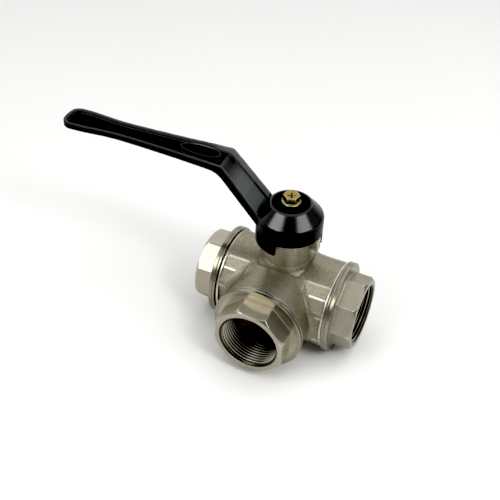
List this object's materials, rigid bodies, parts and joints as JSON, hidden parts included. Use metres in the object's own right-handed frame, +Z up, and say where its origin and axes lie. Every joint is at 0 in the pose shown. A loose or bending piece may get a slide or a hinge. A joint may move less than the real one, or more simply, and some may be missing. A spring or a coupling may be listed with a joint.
{
  "type": "three way ball valve",
  "caption": "Nickel-plated brass three-way L-port ball valve with female threaded ports in a T layout and a black cranked lever handle bolted to the stem.",
  "frame": {"origin": "on the axis of the branch port (the common port), 2 mm inside its face, where the full thread starts; the centre of the ball, where the run, branch and stem axes cross, is 59.4 mm along +Y from it", "axes": "+X towards the right run port, -Y towards the branch port, +Z up along the stem towards the lever; at rest the lever points 185 degrees from +X, almost along -X"},
  "size_m": [0.223, 0.0938, 0.1368],
  "materials": {
    "body_nickel": "satin nickel plate over shot-blasted forged brass",
    "connector_nickel": "nickel plate over turned and milled brass",
    "gasket": "dark fibre gasket",
    "seat_ptfe": "smooth white PTFE",
    "oring": "black nitrile rubber",
    "ball_chrome": "polished chrome plate",
    "stem_brass": "turned brass",
    "gland_brass": "turned brass",
    "lever_black": "semi-gloss black paint over die-cast aluminium",
    "bolt_zinc": "yellow passivated zinc plate"
  },
  "bodies": {
    "body": {"valve_body": "body_nickel", "end_connector_left": "connector_nickel", "end_connector_right": "connector_nickel", "end_connector_branch": "connector_nickel", "connector_gasket_left": "gasket", "connector_gasket_right": "gasket", "connector_gasket_branch": "gasket", "ball_seat_left": "seat_ptfe", "ball_seat_right": "seat_ptfe", "ball_seat_branch": "seat_ptfe", "ball_seat_back": "seat_ptfe", "seat_oring_back": "oring", "stem_thrust_washer": "seat_ptfe", "gland_packing": "seat_ptfe", "gland_ring": "gland_brass", "gland_nut": "gland_brass"},
    "handle": {"stem": "stem_brass", "stem_oring_lower": "oring", "stem_oring_upper": "oring", "lever_handle": "lever_black", "handle_bolt": "bolt_zinc"},
    "ball": {"ball": "ball_chrome"}
  },
  "joints": [
    {"name": "handle_turn", "type": "hinge", "parent": "body", "child": "handle", "pos_m": [0, 0.0594, 0.06], "axis": [0, 0, 1], "range_deg": [-5, 85]},
    {"name": "ball_turn", "type": "hinge", "parent": "body", "child": "ball", "pos_m": [0, 0.0594, 0], "axis": [0, 0, 1], "range_deg": [-5, 85]}
  ],
  "couplings": [
    {"joint": "ball_turn", "follows": "handle_turn", "ratio": 1}
  ]
}
